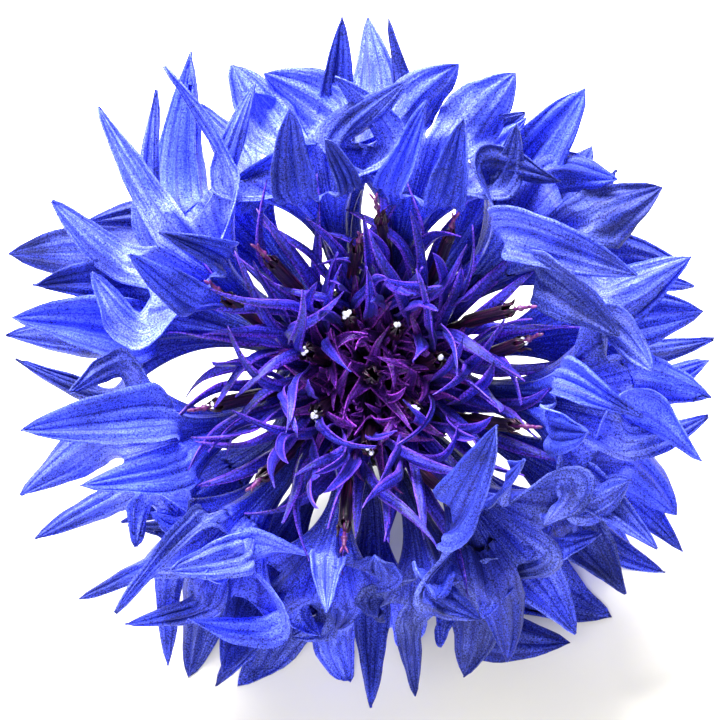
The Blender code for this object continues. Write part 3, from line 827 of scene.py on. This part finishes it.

# %% [markdown]
# ## The twenty ring florets
# Ten florets lie low and ten stand above them with their mouths tipped up to the light. The table
# gives, for each, where it points, how high its throat is, how it rises, how far its inner lobes
# fold up, its size, what sets it apart, and its lobes. For each lobe, the table says where the tip
# lies: how far round, how far out in mm, how much higher than usual. Then it says how wide the lobe
# is in mm. Lobes are counted round the mouth from below, so with five, the third is the one on top.
# "throat" is how far out the funnel starts, where that isn't about 8.6 mm. The other entry that can
# set a floret apart darkens all its lobes: it is painted shade, for the three florets that lie in
# shade.

# %% Ring floret table
RING_FLORETS = (
    ("east", 14, 0.8, -4, 0, 1.0, {},
     (15.6, 22.4, 0, 2.0), (19.0, 21.4, 0, 2.8), (11.2, 21.6, 1, 3.8),
     (2.3, 21.8, 0, 2.6), (5.8, 22.8, 0, 1.6)),
    ("east_northeast", 42, 5.3, 26, 20, 1.12, {"tone": 0.75, "throat": 7.9},
     (38.5, 20.0, -1, 2.2), (46.0, 17.0, 0, 2.2), (20.4, 17.5, -2, 2.8),
     (9.0, 15.5, -2, 3.2), (20.3, 21.6, -2, 3.8), (33.0, 22.2, -2, 4.2)),
    ("northeast", 54, 0.8, -2, 0, 1.0, {},
     (58.5, 20.0, 0, 2.2), (59.9, 19.6, 4, 1.4), (53.2, 22.8, 0, 3.4),
     (40.0, 20.5, 1, 1.8), (45.8, 20.9, 0, 2.8)),
    ("north_northeast", 77, 5.3, 28, 40, 1.0, {"throat": 8.0},
     (74.6, 20.6, 0, 2.8), (83.0, 18.6, 0, 2.0), (78.5, 17.3, -1, 1.6),
     (70.7, 17.0, -1, 2.2), (60.0, 18.3, 0, 2.2), (64.7, 21.3, 0, 3.4)),
    ("north", 99, 0.8, 0, 0, 1.0, {"throat": 9.8},
     (99.7, 20.2, 0, 2.6), (107.0, 18.5, 0, 2.2), (94.8, 22.7, 1, 2.2),
     (88.0, 22.8, 0, 1.4), (91.0, 23.7, 0, 3.8)),
    ("north_northwest", 105, 5.4, 28, 45, 1.0, {"throat": 8.2},
     (114.6, 21.8, -1, 3.2), (112.0, 19.8, -1, 1.6), (106.5, 17.5, 0, 2.4),
     (101.3, 15.1, 0, 1.2), (97.0, 19.0, -1, 2.0), (109.5, 20.5, -1, 3.2)),
    ("northwest", 131, 0.8, 0, 0, 1.05, {},
     (119.0, 24.2, 1, 3.2), (127.0, 23.0, 0, 3.0), (102.8, 15.2, 4, 2.5),
     (112.6, 19.5, 3, 3.4), (123.2, 21.6, 1, 2.6)),
    ("west_northwest", 149, 5.5, 34, 20, 1.0, {},
     (151.2, 23.2, -1, 2.0), (160.0, 18.8, -1, 2.4), (153.5, 16.9, 0, 2.1),
     (145.9, 15.6, 0, 2.1), (123.8, 23.4, -1, 0.8), (135.6, 24.4, -1, 1.7)),
    ("west", 162, 0.8, -2, 0, 1.15, {},
     (173.7, 24.6, 0, 2.8), (177.6, 23.2, 0, 1.4), (171.0, 23.2, 1, 3.4),
     (165.0, 22.4, 1, 3.4), (152.0, 21.2, 0, 2.2), (162.0, 25.6, 0, 4.0)),
    ("west_southwest", 199, 5.2, 28, 20, 1.02, {"throat": 9.0},
     (205.8, 24.0, -2, 1.5), (212.0, 16.5, -2, 1.6), (201.0, 19.5, -1, 2.4),
     (188.8, 22.1, -2, 3.2), (183.5, 19.0, -1, 1.8), (199.0, 23.7, -1, 3.0)),
    ("southwest_low", 214, 0.6, -7, 0, 0.85, {},
     (211.8, 19.1, 0, 1.2), (216.0, 17.5, 0, 1.6), (210.1, 18.7, 0, 1.6),
     (203.0, 17.0, 0, 1.8), (205.0, 17.7, 0, 1.6)),
    ("southwest", 228, 4.9, 22, 10, 1.1, {},
     (225.3, 22.5, -2, 1.3), (233.0, 19.5, -1, 2.2), (224.0, 17.5, -1, 2.2),
     (222.4, 22.0, -3, 1.2), (216.0, 18.5, -1, 1.8), (217.5, 23.9, -2, 1.1)),
    ("south_southwest", 241, 0.6, -4.8, 0, 1.08, {},
     (247.8, 23.6, 0, 3.4), (253.0, 17.6, 0, 2.4), (243.0, 21.3, 1, 3.2),
     (235.4, 22.9, 0, 2.6), (239.3, 23.7, 0, 4.0)),
    ("south_high", 256, 5.2, 20, 10, 0.82, {},
     (262.0, 16.5, -1, 2.2), (271.0, 11.2, 0, 1.8), (259.0, 15.0, 0, 2.0),
     (229.5, 16.7, 1, 2.6), (243.6, 22.4, -3, 1.6)),
    ("south", 270, 0.6, 1, 0, 0.95, {"throat": 9.6},
     (275.5, 18.5, 0, 2.0), (284.0, 18.0, 0, 2.2), (269.8, 21.3, 0, 2.2),
     (258.5, 17.0, 1, 2.0), (266.4, 20.9, 0, 2.6)),
    ("south_southeast", 287, 4.5, 12, 0, 0.85, {"tone": 0.7, "throat": 9.3},
     (286.7, 20.5, -2, 3.2), (294.0, 17.0, -1, 2.2), (286.0, 14.6, 0, 2.2),
     (271.0, 15.5, 0, 1.8), (277.8, 21.2, -3, 1.3)),
    ("southeast_high", 307, 5.8, 36, 40, 1.02, {"tone": 0.7},
     (303.0, 15.2, -3, 2.6), (319.0, 14.2, -1, 3.2), (331.0, 10.4, 2, 3.6),
     (339.8, 8.3, 1, 4.2), (294.0, 16.8, -3, 2.4), (295.4, 20.2, -4, 2.6)),
    ("southeast", 315, 0.6, -20.2, 0, 1.12, {},
     (322.3, 23.2, 0, 4.4), (330.6, 23.4, 2, 2.0), (318.8, 21.6, 1, 3.6),
     (308.5, 21.2, 1, 3.4), (306.0, 22.0, 0, 3.4), (312.3, 23.6, 0, 5.0)),
    ("east_southeast", 333, 3.8, 9, 0, 1.05, {},
     (335.3, 21.9, 0, 2.6), (346.0, 21.7, 0, 4.2), (328.8, 20.9, 0, 2.6),
     (325.0, 17.5, 0, 2.0), (325.8, 23.0, 0, 1.8)),
    ("east_high", 352, 5.6, 32, 20, 1.06, {},
     (356.0, 21.8, -2, 3.2), (1.0, 17.5, 0, 2.2), (351.0, 17.0, -2, 2.4),
     (345.0, 13.8, 0, 2.8), (338.0, 17.5, -1, 2.4), (353.4, 21.6, -2, 2.0)),
)
print(len(RING_FLORETS), "ring florets")

# %% Roll the ring florets
FIRST_FOOT = 8.0  # where the first floret stands on the receptacle's rim, in degrees round

ring_pieces = []
for number, entry in enumerate(RING_FLORETS):
    place, azimuth, height, rise, fold, size, special, *tips = entry
    name = "ring_floret_" + place
    foot = FIRST_FOOT + 360 * number / len(RING_FLORETS)
    piece = copy_of(patterns[len(tips)], "petals_" + place)
    roll_ring_floret(piece.data, foot, azimuth, height, rise, fold, size, tips, **special)
    finish_petal(piece, PETAL_THICKNESS, ring_outside, ring_inside_with_painted_shade)
    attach(piece, "root")
    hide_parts(name)
    ring_pieces.append(piece)
for pattern in patterns.values():
    bpy.data.objects.remove(pattern)
print("ring florets", len(ring_pieces), "faces", sum(len(p.data.polygons) for p in ring_pieces))

# %% [markdown]
# ## Disc florets
# A disc floret is a slim upright tube with five strap-like lobes, violet at the heart of the flower
# and bluer outside. Out of it comes a dark tube of five joined anthers, and out of that the magenta
# style, with a collar of hairs that sweeps the pollen out and a two-lobed stigma. The corolla and
# the anther tube are rolled from a flat pattern too, and the anther tube's five points close over
# its mouth.

# %% The line that a disc floret follows
DISC_LOBES, DISC_COLUMNS = 5, 6
DISC_OUTER_RADIUS, DISC_INNER_RADIUS = 2.85, 1.45
DISC_FOOT_LIFT, LEAN_AT_FOOT = 0.4, 0.45
COLUMN_START, COLUMN_LENGTH, YOUNG_LENGTH = 6.1, 8.4, 10.0
# How far round each open floret stands and how far it leans out, both in degrees.
DISC_OUTER = (
    (8, 52), (32, 46), (56, 52), (79, 46), (104, 50), (131, 47),
    (157, 52), (190, 47), (222, 50), (256, 46), (294, 50), (334, 47),
)
# How far each open floret's column swings sideways at its tip, in degrees, and how far out its tip
# is pushed or pulled, in mm: real columns lean towards the light and away from each other.
COLUMN_SWING = (
    (6, -0.6), (-9, 0.4), (7, 0.0), (11, 0.8), (-10, -2.2), (1, 0.3),
    (-7, 0.5), (1, 0.9), (1, -0.6), (5, 0.6), (11, -1.0), (9, 0.2),
)
# The same for the young florets, the last of which stands in the middle.
DISC_INNER = (
    (13, 28), (62, 18), (112, 24), (160, 28), (214, 26), (268, 30), (322, 18), (0, 0),
)


def leaning_line(radius, azimuth, lean, length, distance):
    """Where a disc floret's centre line is at a distance from its foot, and its direction."""
    start = LEAN_AT_FOOT * lean
    up, out = arc(length, start, lean, distance / length)
    slope = radians(start + (lean - start) * distance / length)
    turn = Matrix.Rotation(radians(azimuth), 3, "Z")
    foot = dome_height(radius) + DISC_FOOT_LIFT
    centre = Vector((radius + out, 0, foot + up))
    return turn @ centre, turn @ Vector((sin(slope), 0, cos(slope)))


def column_line(line, swing, push, distance):
    """The same for the column of an open floret, which goes on along the floret's own line.

    Its tip swings sideways by an angle in degrees and is pushed outward by a length in mm.
    """
    share = distance / COLUMN_LENGTH
    centre, along = line(COLUMN_START + distance)
    turn = Matrix.Rotation(radians(swing) * share, 3, "Z")
    out = Vector((centre.x, centre.y, 0)).normalized()
    return turn @ (centre + out * (push * share)), turn @ along


def between(stages, v):
    """Distance and radius at a place along a pattern, from (v, distance, radius) stages."""
    for (v0, d0, r0), (v1, d1, r1) in zip(stages, stages[1:]):
        if v <= v1 + NEAR:
            share = min(1.0, max(0.0, (v - v0) / (v1 - v0)))
            ease = share * share * (3 - 2 * share)
            return d0 + (d1 - d0) * share, r0 + (r1 - r0) * ease


def roll_on_line(mesh, line, shape):
    """Rolls a pattern into a tube with lobes along a line, given as a function of distance.

    shape holds the tube's stages and how deep it is grooved against its radius. For its lobes it
    holds their length in mm, the slopes they start and end with, how far the end strays from that
    and how far they twist, both in degrees, their width as a share of their foot's, and how deep
    their folds are in mm.
    """
    turn = draw(0, tau)
    seed = draw(0, 100)

    def spoke(along, angle):
        side = along.orthogonal() if abs(along.z) < 0.5 else Vector((0, 1, 0)).cross(along)
        side = side.normalized()
        return side * cos(angle) + along.cross(side) * sin(angle)

    def on_wall(around, v):
        distance, radius = between(shape["stages"], v)
        centre, along = line(distance)
        angle = tau * around / DISC_LOBES + turn
        radius *= 1 - shape["groove"] * min(1.0, v) * cos(tau * around) ** 3
        return centre + spoke(along, angle) * radius

    lines = []
    for k in range(DISC_LOBES):
        middle = k + 0.5
        foot = on_wall(middle, LOBE_START)
        _, along = line(between(shape["stages"], LOBE_START)[0])
        outward = spoke(along, tau * middle / DISC_LOBES + turn)
        length = shape["length"] * draw(0.85, 1.15)
        slope, tip = shape["slopes"]
        ahead, wider = arc(length, slope, tip + draw(-1, 1) * shape["stray"])
        end = foot + along * ahead + outward * wider
        end += along.cross(outward) * (draw(-0.25, 0.25) * shape["length"])
        heading = along * cos(radians(slope)) + outward * sin(radians(slope))
        left, right = on_wall(k, LOBE_START), on_wall(k + 1, LOBE_START)
        twist = draw(-1, 1) * shape["twist"]
        width = shape["width"] * draw(0.9, 1.1)
        lines.append(lobe_line(foot, heading, left, right, end, width, twist, bow=0.5, curl=0.48))
    lay_points(mesh, on_wall, lines, strap_width, shape["pleat"])


print("outer disc florets", len(DISC_OUTER), "inner", len(DISC_INNER))

# %% [markdown]
# ## The style
# The style is too fine for a rolled sheet, so it is extruded as by hand: a circle is drawn up and
# resized ring by ring, with a flared collar, and two small tongues are added for the stigma. It is
# made once, standing straight, and each copy is then bent along its own floret's line.

# %% Model the style once, standing straight
STYLE_RINGS = (  # how far each ring is drawn up, in mm, and how it is resized
    (0.5, 1.0), (0.5, 0.95), (0.35, 1.05), (0.1, 1.7), (0.12, 1.15),
    (0.05, 0.62), (0.25, 0.9), (0.2, 1.0), (0.12, 0.85),
)
TONGUE_TILT = 24  # how far each half of the stigma tilts out, in degrees


def extrude_up(rise, scale, height):
    """Extrudes the selected ring up, resizes the new one about the axis and returns its height."""
    bpy.ops.mesh.extrude_region_move(TRANSFORM_OT_translate={"value": (0, 0, rise)})
    bpy.ops.transform.resize(value=(scale, scale, 1), center_override=(0, 0, height + rise))
    return height + rise


def model_style(name):
    """A style 1 unit per mm long, with a hair collar and a two-lobed stigma."""
    circle = bpy.ops.mesh.primitive_circle_add
    style = new_shape(name, circle, vertices=10, radius=0.12, fill_type="NGON")
    height = 0.0
    for rise, scale in STYLE_RINGS:
        height = extrude_up(rise, scale, height)
    bpy.ops.object.mode_set(mode="OBJECT")
    tongues = []
    for side in (-1, 1):
        ball = bpy.ops.mesh.primitive_uv_sphere_add
        place = (0.07 * side, 0, height + 0.2)
        tongue = new_shape(
            "tongue", ball, segments=8, ring_count=6, radius=0.1, location=place
        )
        bpy.ops.transform.resize(value=(0.8, 1.2, 3.0))
        bpy.ops.transform.rotate(
            value=radians(-TONGUE_TILT * side),
            orient_axis="Y",
            center_override=(0.04 * side, 0, height),
        )
        bpy.ops.object.mode_set(mode="OBJECT")
        tongues.append(tongue)
    style = join([style, *tongues], name)
    bpy.ops.object.shade_smooth()
    style.data.materials.append(style_flesh)
    return style


style_model = model_style("style_straight")
style_length = max(v.co.z for v in style_model.data.vertices)
print("style", round(style_length, 2), "mm,", len(style_model.data.polygons), "faces")

# %% [markdown]
# ## Pollen
# Cornflower pollen is white and sticky, and it comes out in lumps as the style grows. Each lump is a
# few round clots, each about 0.3 mm across, made from one rounded ball with its points pushed in and
# out.

# %% Model a clot of pollen once
clot = new_shape("pollen_clot", bpy.ops.mesh.primitive_ico_sphere_add, subdivisions=3, radius=0.16)
bpy.ops.transform.vertex_random(offset=0.014, seed=3)
bpy.ops.mesh.vertices_smooth(factor=0.3)
bpy.ops.object.mode_set(mode="OBJECT")
bpy.ops.object.shade_smooth()
clot.data.materials.append(pollen_grain)
print("clot of", len(clot.data.polygons), "faces")

# %% Roll, bend and scatter the small pieces
DISC_THICKNESS = 0.08 * MM
POLLEN_SPREAD = 0.22  # how far a clot strays from the middle of its lump, in mm
disc_pattern = cut_pattern("disc_pattern", DISC_LOBES, DISC_COLUMNS)


def rolled(name, line, shape, skin):
    """A finished small tube with lobes, rolled from its own copy of the disc pattern."""
    piece = copy_of(disc_pattern, name)
    roll_on_line(piece.data, line, shape)
    finish_petal(piece, DISC_THICKNESS, skin, skin)
    return piece


def bent_style(line, start):
    """A copy of the straight style, bent along a floret's line from a distance along it."""
    style = copy_of(style_model, "style")
    for vertex in style.data.vertices:
        centre, along = line(start + vertex.co.z)
        side = Vector((0, 1, 0)).cross(along).normalized()
        vertex.co = centre + side * vertex.co.x + along.cross(side) * vertex.co.y
    to_head(style.data)
    return style


def pollen_lump(centre, clots):
    """A few clots round a place, as separate objects."""
    made = []
    for _ in range(clots):
        piece = copy_of(clot, "clot")
        shift = Vector([draw(-POLLEN_SPREAD, POLLEN_SPREAD) for _ in range(3)])
        size = draw(0.6, 1.15)
        turn = Matrix.Rotation(draw(0, tau), 3, "X")
        for vertex in piece.data.vertices:
            vertex.co = centre + shift + turn @ (vertex.co * size)
        to_head(piece.data)
        made.append(piece)
    return made


print("disc pattern", len(disc_pattern.data.polygons), "faces")

# %% [markdown]
# ## Twelve open disc florets
# The outer disc florets are open. Each has its corolla, and a column of anther tube and style. The
# disc of a real flower is packed tighter than twenty florets can fill, so a second corolla stands
# close beside each one, further in, as part of the same piece.

# %% Roll the open disc florets
COROLLA = dict(
    stages=((0.0, 0.0, 0.3), (1.0, 3.9, 0.34), (1.6, 5.0, 0.5), (LOBE_START, 6.2, 0.78)),
    groove=0.12, length=8.0, slopes=(8, 50), stray=26, twist=80, width=1.26, pleat=0.07,
)
ANTHERS = dict(
    stages=((0.0, 0.0, 0.15), (0.7, 1.9, 0.18), (1.0, 2.6, 0.36), (LOBE_START, 5.9, 0.35)),
    groove=0.14, length=0.95, slopes=(-6, -26), stray=6, twist=10, width=0.9, pleat=0.01,
)
# The second corolla: how far round and how much more upright, in degrees, then mm in and mm long.
PARTNER_TURN, PARTNER_UPRIGHT, PARTNER_INWARD, PARTNER_LENGTH = 14, 12, 0.7, 12.0
STYLE_START, OPEN_POLLEN_AT = 5.6, 6.6  # along the column, in mm
POLLEN_ON_OPEN = {0: 3, 7: 3}  # clots on a floret, by its number
for number, (azimuth, lean) in enumerate(DISC_OUTER):
    whole = COLUMN_START + COLUMN_LENGTH
    line = partial(leaning_line, DISC_OUTER_RADIUS, azimuth, lean, whole)
    radius = DISC_OUTER_RADIUS - PARTNER_INWARD
    turned, upright = azimuth + PARTNER_TURN, lean - PARTNER_UPRIGHT
    near_line = partial(leaning_line, radius, turned, upright, PARTNER_LENGTH)
    middle = partial(column_line, line, *COLUMN_SWING[number])

    corollas = [rolled("petals", way, COROLLA, outer_disc_petal) for way in (line, near_line)]
    corolla = join(corollas, f"disc_petals_{number + 1:02d}")
    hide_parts(f"disc_corolla_{number + 1:02d}")

    tube = rolled("anther_tube", middle, ANTHERS, anther_skin)
    style = bent_style(middle, STYLE_START)
    grains = pollen_lump(middle(OPEN_POLLEN_AT)[0], POLLEN_ON_OPEN.get(number, 0))
    column = join([tube, style, *grains], f"anther_tube_and_style_{number + 1:02d}")
    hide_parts(f"anther_column_{number + 1:02d}")
    for piece in (corolla, column):
        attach(piece, "root")
print("open disc florets", len(DISC_OUTER))

# %% [markdown]
# ## Eight young disc florets
# The inner florets have just opened. Their short pointed lobes make violet stars, the anther tube
# barely shows, and the first white pollen sits on its mouth. Two closed buds stand beside each.

# %% Roll the young disc florets
YOUNG = dict(
    stages=((0.0, 0.0, 0.34), (1.0, 4.2, 0.4), (1.6, 5.6, 0.62), (LOBE_START, 6.6, 0.86)),
    groove=0.12, length=3.4, slopes=(20, 60), stray=60, twist=90, width=0.74, pleat=0.03,
)
YOUNG_ANTHERS = dict(
    stages=((0.0, 4.4, 0.2), (0.7, 5.6, 0.3), (1.0, 6.4, 0.42), (LOBE_START, 8.6, 0.44)),
    groove=0.14, length=0.8, slopes=(-4, -30), stray=6, twist=10, width=0.9, pleat=0.01,
)
BUD = dict(
    stages=((0.0, 0.0, 0.3), (1.0, 3.6, 0.34), (1.8, 5.4, 0.5), (LOBE_START, 5.9, 0.52)),
    groove=0.1, length=2.2, slopes=(2, 12), stray=30, twist=30, width=0.95, pleat=0.02,
)
BUD_TURN, BUD_RADIUS = 26, 0.75 * DISC_INNER_RADIUS  # beside their floret, in degrees and mm
YOUNG_POLLEN_AT = 9.3  # along the floret, in mm
POLLEN_ON_YOUNG = (4, 3, 5, 4, 4, 4, 5, 0)  # clots on each floret
for number, (azimuth, lean) in enumerate(DISC_INNER):
    radius = DISC_INNER_RADIUS if lean else 0.0
    line = partial(leaning_line, radius, azimuth, lean, YOUNG_LENGTH)
    parts = [rolled("petals", line, YOUNG, disc_petal)]
    parts.append(rolled("anther_tube", line, YOUNG_ANTHERS, anther_skin))
    for turned in (azimuth - BUD_TURN, azimuth + BUD_TURN):
        bud_line = partial(leaning_line, BUD_RADIUS, turned, 0.7 * lean + 3, YOUNG_LENGTH)
        parts.append(rolled("bud", bud_line, BUD, disc_petal))
    parts += pollen_lump(line(YOUNG_POLLEN_AT)[0], POLLEN_ON_YOUNG[number])
    young = join(parts, f"young_disc_floret_{number + 1}")
    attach(young, "root")
    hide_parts(f"young_floret_{number + 1}")
for helper in (disc_pattern, style_model, clot):
    bpy.data.objects.remove(helper)
print("young disc florets", len(DISC_INNER))

# %% [markdown]
# ## Stem and receptacle
# The receptacle is the swollen urn that the florets stand on, on top of the short ribbed stem. It
# is drawn up from a circle, ring by ring, as on a lathe. Its top is dark and its cut stem end shows
# the pale pith, so faces get their material by where they are.

# %% Draw up the stem and the receptacle
STEM_RADIUS, CUT_RADIUS, STEM_RIBS = 1.2, 0.96, 8
RIB_FADE = 1.5  # how far below the urn the ribs begin to fade, in mm
URN = (
    (1.2, 0.0), (1.5, 0.5), (2.4, 1.2), (3.3, 2.2), (4.0, 3.8), (4.45, 5.8), (4.65, 8.0),
    (4.75, 11.0),
)
receptacle_top = tissue_material("receptacle_top", "0d0420", "24103f", 0.4, 0.7)


def urn_radius(height):
    """Radius of the urn's side at a height above the stem, in mm."""
    for (r0, z0), (r1, z1) in zip(URN, URN[1:]):
        if z0 <= height <= z1:
            return r0 + (r1 - r0) * (height - z0) / (z1 - z0)
    return RECEPTACLE_EDGE


circle = bpy.ops.mesh.primitive_circle_add
stem = new_shape(
    "ribbed_stem_and_receptacle", circle, vertices=64, radius=CUT_RADIUS, fill_type="NGON"
)
profile = [(0.0, 0.94 * STEM_RADIUS), (0.12, STEM_RADIUS)]
profile += [(STEM_LENGTH * share, STEM_RADIUS) for share in (0.25, 0.5, 0.75)]
profile += [(STEM_LENGTH + z, r) for r, z in URN]
profile += [
    (dome_height(RECEPTACLE_EDGE * share), RECEPTACLE_EDGE * share)
    for share in (0.9, 0.7, 0.5, 0.3, 0.1, 0.02)
]
height, reach = 0.0, CUT_RADIUS
for z, radius in profile:
    height = extrude_up(z - height, radius / reach, height)
    reach = radius
bpy.ops.object.mode_set(mode="OBJECT")
for vertex in stem.data.vertices:
    if vertex.co.z < STEM_LENGTH:
        fade = min(1.0, (STEM_LENGTH - vertex.co.z) / RIB_FADE)
        angle = atan2(vertex.co.y, vertex.co.x)
        ridge = 1 + fade * (0.06 * cos(STEM_RIBS * angle) ** 3 - 0.03)
        vertex.co.x *= ridge
        vertex.co.y *= ridge
for held in (stem_skin, stem_pith, receptacle_top):
    stem.data.materials.append(held)
for face in stem.data.polygons:
    if face.center.z < 0.01:
        face.material_index = 1
    elif face.center.z > dome_height(RECEPTACLE_EDGE * 0.95) - 0.02:
        face.material_index = 2
to_head(stem.data)
bpy.ops.object.shade_smooth_by_angle(angle=radians(50))
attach(stem, "root")
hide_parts("stem_and_receptacle")
print("stem and receptacle", len(stem.data.polygons), "faces")

# %% [markdown]
# ## Bracts
# Four rows of nine scales overlap like roof tiles round the urn. A cornflower's bract is green and
# leathery, and its dark brown edge is cut into fine teeth, which is how the plant is told from its
# relatives. One scale is made flat and then laid on the urn 36 times, and its edge gets its teeth as
# it is laid.

# %% Cut one bract flat
BRACT_ROWS, BRACTS_IN_ROW = 4, 9
BRACT_START, BRACT_STEP, BRACT_HEIGHT, BRACT_CLEAR, BRACT_LEAN = 1.7, 2.4, 3.4, 0.5, 1.05
BRACT_LONG, BRACT_WIDE = 24, 16  # faces along and across a bract
BRACT_THICKNESS = 0.16 * MM
TOOTH_DEPTH, TEETH_START = 0.16, 0.35  # against half the bract's width and all its length

grid = bpy.ops.mesh.primitive_grid_add
bract = new_shape("bract_flat", grid, x_subdivisions=BRACT_WIDE, y_subdivisions=BRACT_LONG, size=1.0)
bpy.ops.transform.translate(value=(0, 0.5, 0))
bpy.ops.transform.resize(value=(2, 1, 1), center_override=(0, 0, 0))
bpy.ops.object.mode_set(mode="OBJECT")
keep_flat_shape(bract, "bract")
print("flat bract", len(bract.data.polygons), "faces")


# %% Lay the bracts on the urn
def lay_bract(mesh, start, middle, longer):
    """Bends a flat bract round the urn, from a height above the stem and at an angle round."""
    for vertex in mesh.vertices:
        c, along = vertex.co.x, vertex.co.y
        outline = min(1.0, 1.12 * (1 - along) ** 0.55) * (0.92 + 0.35 * along)
        tooth = TOOTH_DEPTH * (round(along * BRACT_LONG) % 2) * (along > TEETH_START)
        if abs(c) > 0.99:
            outline += tooth * (1 - along) ** 0.3
        rise = start + along * BRACT_HEIGHT * longer
        radius = urn_radius(rise) + BRACT_CLEAR + BRACT_LEAN * along
        radius -= 0.22 * c * c + 0.06 * exp(-((c / 0.12) ** 2)) * along
        angle = middle + tau / BRACTS_IN_ROW * 0.56 * c * outline
        vertex.co = (radius * cos(angle), radius * sin(angle), STEM_LENGTH + rise)


for row in range(BRACT_ROWS):
    scales = []
    for k in range(BRACTS_IN_ROW):
        scale = copy_of(bract, "bract")
        middle = tau * (2 * k + row) / (2 * BRACTS_IN_ROW)
        lay_bract(scale.data, BRACT_START + row * BRACT_STEP, middle, draw(0.94, 1.04))
        to_head(scale.data)
        thicken(scale, BRACT_THICKNESS, bract_green, bract_green)
        scales.append(scale)
    ring = join(scales, f"bract_scales_row_{row + 1}")
    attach(ring, "root")
    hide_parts(f"bract_row_{row + 1}")
bpy.data.objects.remove(bract)
print("bracts", BRACT_ROWS * BRACTS_IN_ROW)

# %% [markdown]
# ## Table
# The flower rests on a plain sheet. It is drawn as one big plane, a slightly warm white, because so
# much blue light comes off the petals that a neutral sheet would look blue beside them. A faint
# fibre keeps it from looking like a screen.

# %% Lay the table
TABLE_SIZE = 3.0
bpy.ops.mesh.primitive_plane_add(size=TABLE_SIZE, location=(0, 0, 0))
table = bpy.context.object
table.name = "table"
sheet, add = new_material("white_table_sheet")
fibre = add("TexNoise", {"Vector": add("TexCoord", output="Object"), "Scale": 1 / (2 * MM)})
bumped = add("Bump", {"Height": fibre, "Strength": 0.05, "Distance": 0.02 * MM})
paper = {"Base Color": linear("f2efe2"), "Roughness": 0.9, "Normal": bumped}
add("OutputMaterial", [add("BsdfPrincipled", paper)])
table.data.materials.append(sheet)
table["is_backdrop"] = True

# %% Print the sizes and finish
low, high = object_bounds()
sizes = {"cad": [list(cad_low), list(cad_high)], "visual": [list(low), list(high)]}
print({k: [[round(c / MM, 1) for c in p] for p in v] for k, v in sizes.items()})
